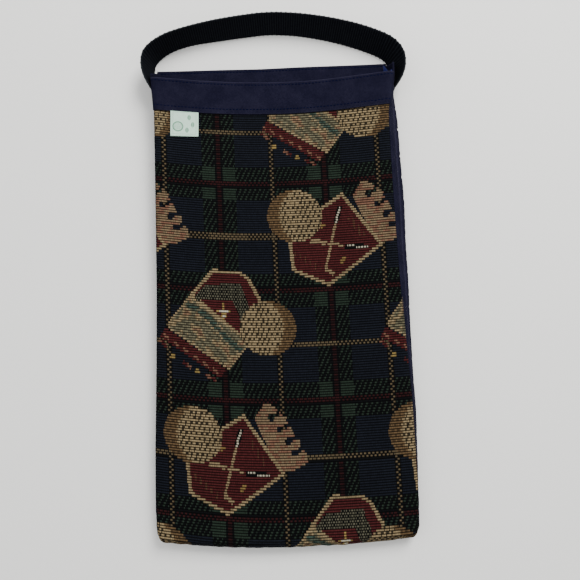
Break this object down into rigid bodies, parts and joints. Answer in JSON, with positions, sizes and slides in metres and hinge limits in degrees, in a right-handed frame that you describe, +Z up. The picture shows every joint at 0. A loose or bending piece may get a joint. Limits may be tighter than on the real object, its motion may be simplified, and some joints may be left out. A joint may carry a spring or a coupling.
{
  "type": "golf shoe bag",
  "caption": "Flat open-top tapestry shoe bag with twill gussets, a folded twill band round its mouth and a webbing strap handle over it.",
  "frame": {"origin": "the middle of the footprint of the whole bag as it lies on its back, on the surface under it", "axes": "+X to the right seen from the front panel, +Y from the base to the mouth, +Z up out of the front panel"},
  "size_m": [0.2344, 0.4712, 0.0269],
  "materials": {
    "tapestry": "coarse jacquard weave in navy, green and maroon with tan figures",
    "twill": "matt cotton twill, navy",
    "lining": "plain-woven lining, royal blue",
    "webbing": "ribbed cotton webbing, near black",
    "thread": "polyester sewing thread, navy",
    "label": "woven satin label, pale mint"
  },
  "bodies": {
    "base_and_back": {"back_panel": "tapestry", "base_panel": "tapestry", "back_lining": "lining", "base_lining": "lining", "back_band": "twill", "back_band_top_stitching": "thread", "back_band_lower_stitching": "thread"},
    "sides": {"left_gusset": "twill", "right_gusset": "twill", "left_gusset_lining": "lining", "right_gusset_lining": "lining"},
    "front": {"front_panel": "tapestry", "front_lining": "lining", "front_band": "twill", "front_band_top_stitching": "thread", "front_band_lower_stitching": "thread"},
    "handle": {"handle_webbing": "webbing", "left_box_stitching": "thread", "right_box_stitching": "thread"},
    "label": {"cloth_label": "label"}
  },
  "joints": [
    {"name": "mouth_open", "type": "hinge", "parent": "base_and_back", "child": "sides", "pos_m": [0.00341, -0.2326, 0.0154], "axis": [1, 0, 0], "range_deg": [0, 1.6], "deforming": ["left_gusset", "right_gusset", "left_gusset_lining", "right_gusset_lining"]},
    {"name": "front_lift", "type": "hinge", "parent": "sides", "child": "front", "pos_m": [0.00341, -0.2326, 0.0154], "axis": [1, 0, 0], "range_deg": [0, 1.6]},
    {"name": "handle_swing", "type": "hinge", "parent": "sides", "child": "handle", "pos_m": [0.00341, 0.1694, 0.0133], "axis": [1, 0, 0], "range_deg": [0, 100]},
    {"name": "label_lift", "type": "hinge", "parent": "front", "child": "label", "pos_m": [-0.09257, 0.1427, 0.02256], "axis": [-0.9874, 0, 0.1585], "range_deg": [0, 60]}
  ],
  "couplings": [
    {"joint": "front_lift", "follows": "mouth_open", "ratio": 1}
  ]
}
